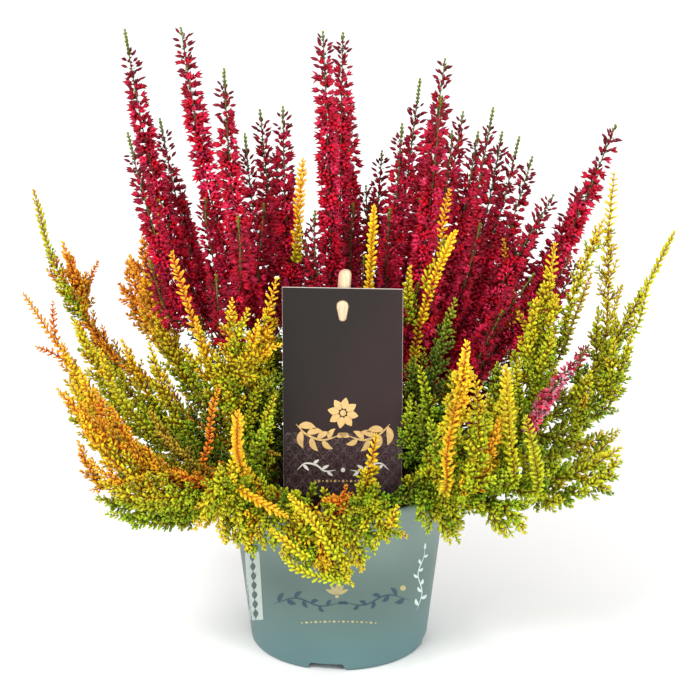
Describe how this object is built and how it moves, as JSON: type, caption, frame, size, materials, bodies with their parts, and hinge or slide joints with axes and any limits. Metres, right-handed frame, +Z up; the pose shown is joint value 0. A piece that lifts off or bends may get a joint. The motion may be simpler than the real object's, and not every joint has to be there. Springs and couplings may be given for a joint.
{
  "type": "potted heather",
  "caption": "Potted heather with upright crimson bud spikes and golden to green foliage shoots in a tapered plastic nursery pot, with a plain card on a stick.",
  "frame": {"origin": "on the pot's axis at the surface the pot stands on", "axes": "+Z up along the pot's axis, -Y towards the front with the card, +X to the right seen from the front"},
  "size_m": [0.3559, 0.2541, 0.3413],
  "materials": {
    "pot_plastic": "satin",
    "peat": "matte",
    "card": "satin",
    "stick_wood": "matte",
    "bark": "matte",
    "crimson_flowers": "matte",
    "golden_leaves": "matte",
    "green_leaves": "matte"
  },
  "bodies": {
    "root": {"gold_shoot_01": "golden_leaves", "gold_shoot_02": "golden_leaves", "gold_shoot_03": "golden_leaves", "gold_shoot_05": "golden_leaves", "gold_shoot_06": "golden_leaves", "gold_shoot_07": "golden_leaves", "gold_shoot_08": "golden_leaves", "gold_shoot_09": "golden_leaves", "gold_shoot_10": "golden_leaves", "gold_shoot_11": "golden_leaves", "gold_shoot_12": "golden_leaves", "gold_shoot_13": "golden_leaves", "gold_shoot_14": "golden_leaves", "gold_shoot_15": "golden_leaves", "gold_shoot_16": "golden_leaves", "gold_shoot_17": "golden_leaves", "gold_shoot_18": "golden_leaves", "gold_shoot_19": "golden_leaves", "gold_shoot_20": "golden_leaves", "gold_shoot_21": "golden_leaves", "gold_shoot_26": "golden_leaves", "gold_shoot_27": "golden_leaves", "green_shoot_04": "green_leaves", "green_shoot_22": "green_leaves", "green_shoot_23": "green_leaves", "green_shoot_24": "green_leaves", "green_shoot_25": "green_leaves", "label_card": "card", "label_stake": "stick_wood", "peat_root_ball": "peat", "pot": "pot_plastic", "red_spike_01": "crimson_flowers", "red_spike_02": "crimson_flowers", "red_spike_03": "crimson_flowers", "red_spike_04": "crimson_flowers", "red_spike_05": "crimson_flowers", "red_spike_06": "crimson_flowers", "red_spike_07": "crimson_flowers", "red_spike_08": "crimson_flowers", "red_spike_09": "crimson_flowers", "red_spike_10": "crimson_flowers", "red_spike_11": "crimson_flowers", "red_spike_12": "crimson_flowers", "red_spike_13": "crimson_flowers", "red_spike_14": "crimson_flowers", "red_spike_15": "crimson_flowers", "red_spike_16": "crimson_flowers", "red_spike_17": "crimson_flowers", "red_spike_18": "crimson_flowers", "red_spike_19": "crimson_flowers", "red_spike_20": "crimson_flowers", "red_spike_21": "crimson_flowers", "red_spike_22": "crimson_flowers", "red_spike_23": "crimson_flowers", "red_spike_24": "crimson_flowers", "red_spike_25": "crimson_flowers", "red_spike_26": "crimson_flowers", "woody_crown_left": "bark", "woody_crown_red": "bark", "woody_crown_right": "bark"}
  },
  "joints": []
}
